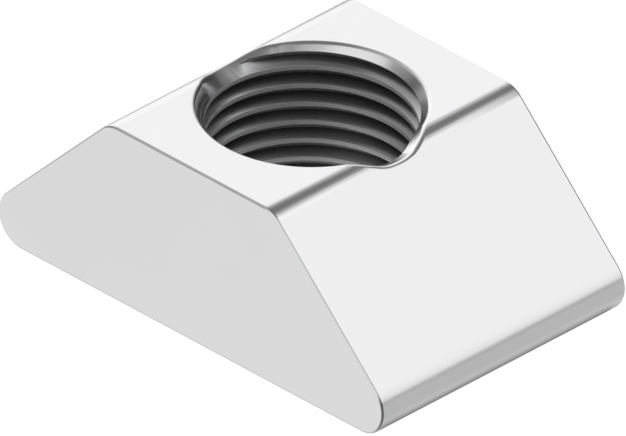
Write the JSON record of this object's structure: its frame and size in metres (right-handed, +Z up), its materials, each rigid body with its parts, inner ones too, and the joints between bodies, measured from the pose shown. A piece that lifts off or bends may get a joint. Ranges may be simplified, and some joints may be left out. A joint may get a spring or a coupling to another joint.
{
  "type": "t slot nut",
  "caption": "One-piece slide-in nut for a T slot: trapezoid bar with sloping clamping flanks, rounded long edges and a central threaded through hole with a chamfer that breaks out on the flanks.",
  "frame": {"origin": "on the threaded hole's axis, at the bottom face", "axes": "+X across the bar, towards one sloping flank; +Y along the bar, the way it slides in the slot; +Z up the hole, out of the narrow flat top"},
  "size_m": [0.0182, 0.0114, 0.0068],
  "materials": {
    "steel": "satin, pale bright surface"
  },
  "bodies": {
    "root": {"t_slot_nut": "steel"}
  },
  "joints": []
}
